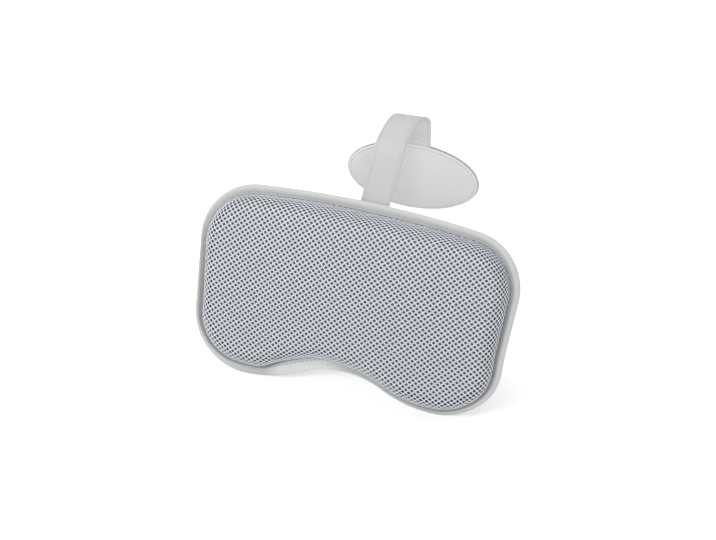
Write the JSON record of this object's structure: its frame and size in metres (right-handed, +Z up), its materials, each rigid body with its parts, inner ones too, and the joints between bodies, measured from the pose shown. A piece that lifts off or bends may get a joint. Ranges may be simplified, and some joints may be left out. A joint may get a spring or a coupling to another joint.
{
  "type": "bath pillow",
  "caption": "Crowned kidney-shaped bath pillow with an air-mesh front and bound edge, hung over a bath's rim by a flat strap and balanced by a weighted oval pouch.",
  "frame": {"origin": "middle of the flat underside of the strap, where it lies on top of the bath's rim", "axes": "+Z up, -Y the way the pad's front faces (into the bath), +X across the pad, to the right seen from the front"},
  "size_m": [0.3296, 0.2597, 0.1985],
  "materials": {
    "air_mesh": "coarse open air mesh, matt, pale blue-grey",
    "liner": "smooth dark lining, matt",
    "foam": "open-cell quick-dry foam",
    "binding": "smooth folded tape, matt pale grey",
    "backing": "close-woven coated cloth, matt grey",
    "strap": "smooth coated webbing, matt pale grey",
    "pouch": "smooth coated cloth, matt pale grey",
    "thread": "twisted sewing thread",
    "steel": "plain steel sheet"
  },
  "bodies": {
    "saddle": {"strap_saddle": "strap"},
    "front_leg": {"strap_front_leg": "strap"},
    "pad": {"mesh_cover": "air_mesh", "core_liner": "liner", "foam_core": "foam", "back_panel": "backing", "edge_binding": "binding", "binding_thread_front": "thread", "binding_thread_back": "thread", "strap_patch": "backing", "patch_stitch": "thread", "strap_pad_tail": "strap", "tail_box_stitch": "thread"},
    "back_leg": {"strap_back_leg": "strap"},
    "weight": {"strap_pouch_tail": "strap", "pouch_front": "pouch", "pouch_back": "pouch", "pouch_welt": "pouch", "pouch_thread_front": "thread", "pouch_thread_back": "thread", "weight_plate": "steel", "weight_pad_front": "foam", "weight_pad_back": "foam"}
  },
  "joints": [
    {"name": "pad_lift", "type": "hinge", "parent": "saddle", "child": "front_leg", "pos_m": [0, -0.02583, -0.00572], "axis": [-1, 0, 0], "range_deg": [0, 95]},
    {"name": "pad_tilt", "type": "hinge", "parent": "front_leg", "child": "pad", "pos_m": [0, -0.06056, -0.04168], "axis": [-1, 0, 0], "range_deg": [0, 65]},
    {"name": "strap_swing", "type": "hinge", "parent": "saddle", "child": "back_leg", "pos_m": [0, 0.05243, -0.01657], "axis": [1, 0, 0], "range_deg": [0, 80]},
    {"name": "weight_swing", "type": "hinge", "parent": "back_leg", "child": "weight", "pos_m": [0, 0.06495, -0.06001], "axis": [1, 0, 0], "range_deg": [-70, 90]}
  ]
}
